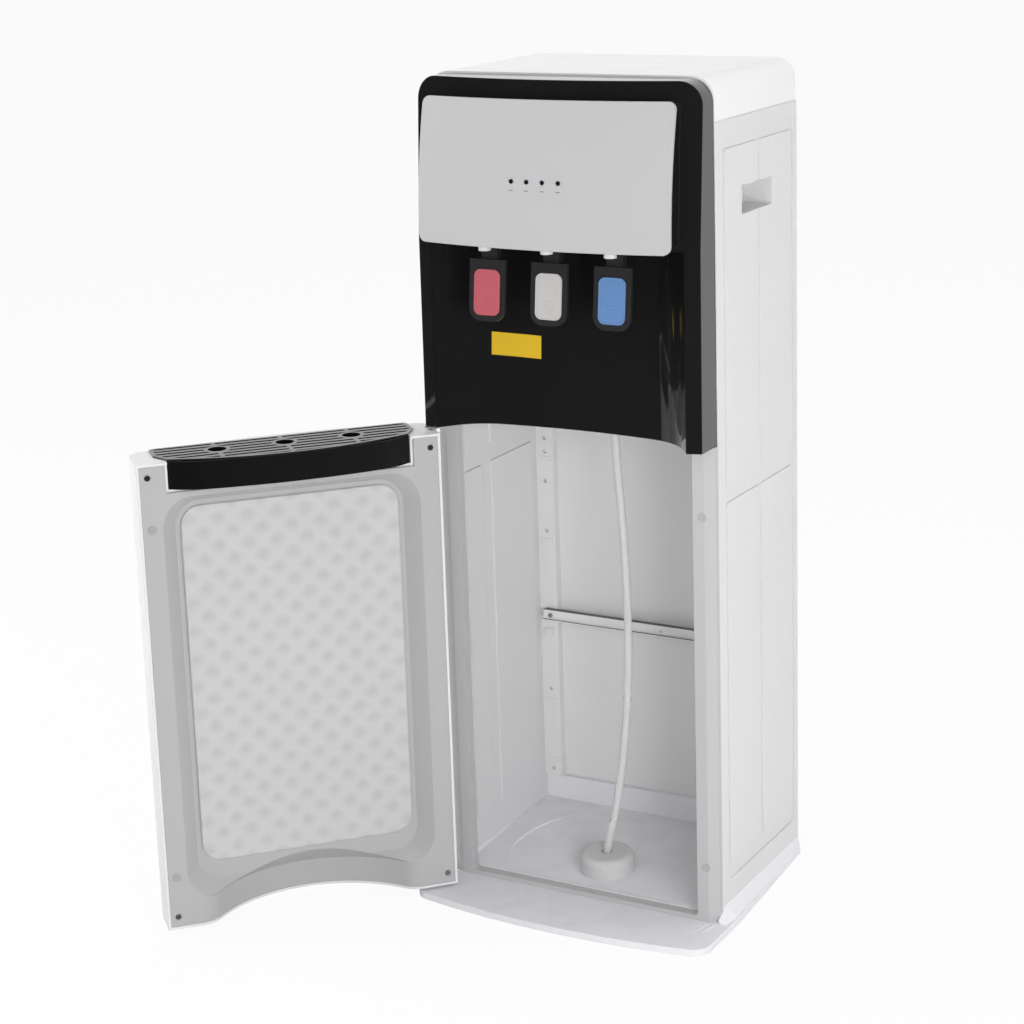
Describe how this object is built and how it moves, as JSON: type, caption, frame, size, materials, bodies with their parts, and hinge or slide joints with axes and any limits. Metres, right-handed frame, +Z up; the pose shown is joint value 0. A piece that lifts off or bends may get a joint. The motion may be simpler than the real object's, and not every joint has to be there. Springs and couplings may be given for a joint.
{
  "type": "bottom load water cooler",
  "caption": "Free-standing water cooler with its bottle compartment open: hinged door with a drip tray in its top, cap and hose inside, taps with paddles above.",
  "frame": {"origin": "on the floor under the middle of the cabinet", "axes": "+Z up, the front with its taps faces -Y, +X is to the right of someone who stands behind the cooler's front and looks along +Y"},
  "size_m": [0.6127, 0.5405, 0.97],
  "materials": {
    "cabinet_white": "satin white moulded plastic, slightly cool",
    "frame_white": "satin white moulded plastic",
    "liner_white": "matt white liner",
    "base_white": "fine matt light grey white",
    "steel_back": "powder coated sheet",
    "galvanised": "plain zinc",
    "bezel_black": "deep gloss black",
    "plate_silver": "fine matt light silver with a faint level grain",
    "paddle_black": "matt black",
    "inset_pink": "satin rose red",
    "inset_white": "satin white",
    "inset_blue": "satin light blue",
    "nozzle_white": "white food grade plastic",
    "led_dark": "dark smoked lens",
    "label_yellow": "plain yellow film",
    "board_green": "green circuit board",
    "pin_steel": "bright steel",
    "jacket_grey": "dark foam jacket",
    "compressor_black": "black enamel",
    "tank_steel": "brushed stainless",
    "condenser_dark": "black coated fins",
    "pipe_white": "white silicone",
    "hose_milk": "milky translucent silicone",
    "cap_white": "white plastic",
    "door_white": "satin white moulded plastic",
    "door_liner": "satin white liner",
    "quilt_white": "soft white embossed sheet",
    "screw_steel": "dull zinc screw",
    "catch_grey": "pale grey",
    "tray_black": "satin black",
    "fitting_black": "matt black",
    "rocker_red": "red",
    "rocker_green": "green"
  },
  "bodies": {
    "cabinet": {"base_tray": "base_white", "front_frame": "frame_white", "frame_catches": "catch_grey", "left_side_panel": "cabinet_white", "right_side_panel": "cabinet_white", "left_handle_cup": "cabinet_white", "right_handle_cup": "cabinet_white", "rear_liner": "liner_white", "left_corner_post": "liner_white", "right_corner_post": "liner_white", "rear_brace": "steel_back", "brace_screws": "screw_steel", "machine_deck": "galvanised", "back_sheet": "steel_back", "top_cover": "cabinet_white", "bezel_frame": "bezel_black", "alcove_panel": "bezel_black", "control_plate": "plate_silver", "control_board": "board_green", "indicator_leds": "led_dark", "notice_label": "label_yellow", "pivot_carrier": "fitting_black", "pivot_rod": "pin_steel", "paddle_switches": "fitting_black", "cold_tank": "jacket_grey", "compressor": "compressor_black", "tank_shelf": "galvanised", "hot_tank": "tank_steel", "pump": "fitting_black", "condenser": "condenser_dark", "feed_pipes": "pipe_white", "tank_pipes": "pipe_white", "hose_gland": "nozzle_white", "supply_hose": "hose_milk", "bottle_cap": "cap_white", "cap_collar": "cap_white", "hinge_top": "pin_steel", "hinge_bottom": "pin_steel", "switch_plate": "fitting_black", "power_inlet": "fitting_black", "drain_plug": "cap_white", "nozzle_hot": "nozzle_white", "nozzle_room": "nozzle_white", "nozzle_cold": "nozzle_white"},
    "door": {"door_outer_shell": "door_white", "door_inner_panel": "door_liner", "door_quilt_sheet": "quilt_white", "door_screws": "screw_steel", "door_catches": "catch_grey"},
    "drip_tray": {"drip_tray": "tray_black"},
    "drip_grille": {"drip_grille": "tray_black"},
    "paddle_hot": {"paddle_hot": "paddle_black", "paddle_inset_hot": "inset_pink"},
    "paddle_room": {"paddle_room": "paddle_black", "paddle_inset_room": "inset_white"},
    "paddle_cold": {"paddle_cold": "paddle_black", "paddle_inset_cold": "inset_blue"},
    "rocker_heating": {"rocker_heating": "rocker_red"},
    "rocker_cooling": {"rocker_cooling": "rocker_green"}
  },
  "joints": [
    {"name": "door_hinge", "type": "hinge", "parent": "cabinet", "child": "door", "pos_m": [-0.169, -0.15, 0.2875], "axis": [0, 0, 1], "range_deg": [-3, 133]},
    {"name": "tray_lift", "type": "slide", "parent": "door", "child": "drip_tray", "axis": [0, 0, 1], "range_m": [0, 0.045]},
    {"name": "grille_lift", "type": "slide", "parent": "drip_tray", "child": "drip_grille", "axis": [0, 0, 1], "range_m": [0, 0.03]},
    {"name": "paddle_hot_press", "type": "hinge", "parent": "cabinet", "child": "paddle_hot", "pos_m": [-0.0773, -0.151, 0.8], "axis": [1, 0, 0], "range_deg": [0, 7], "stiffness_Nm_per_rad": 0.2, "springref_deg": -8.59},
    {"name": "paddle_room_press", "type": "hinge", "parent": "cabinet", "child": "paddle_room", "pos_m": [0, -0.151, 0.8], "axis": [1, 0, 0], "range_deg": [0, 7], "stiffness_Nm_per_rad": 0.2, "springref_deg": -8.59},
    {"name": "paddle_cold_press", "type": "hinge", "parent": "cabinet", "child": "paddle_cold", "pos_m": [0.0773, -0.151, 0.8], "axis": [1, 0, 0], "range_deg": [0, 7], "stiffness_Nm_per_rad": 0.2, "springref_deg": -8.59},
    {"name": "rocker_heating_tilt", "type": "hinge", "parent": "cabinet", "child": "rocker_heating", "pos_m": [-0.017, 0.112, 0.852], "axis": [1, 0, 0], "range_deg": [0, 18]},
    {"name": "rocker_cooling_tilt", "type": "hinge", "parent": "cabinet", "child": "rocker_cooling", "pos_m": [0.017, 0.112, 0.852], "axis": [1, 0, 0], "range_deg": [0, 18]}
  ]
}
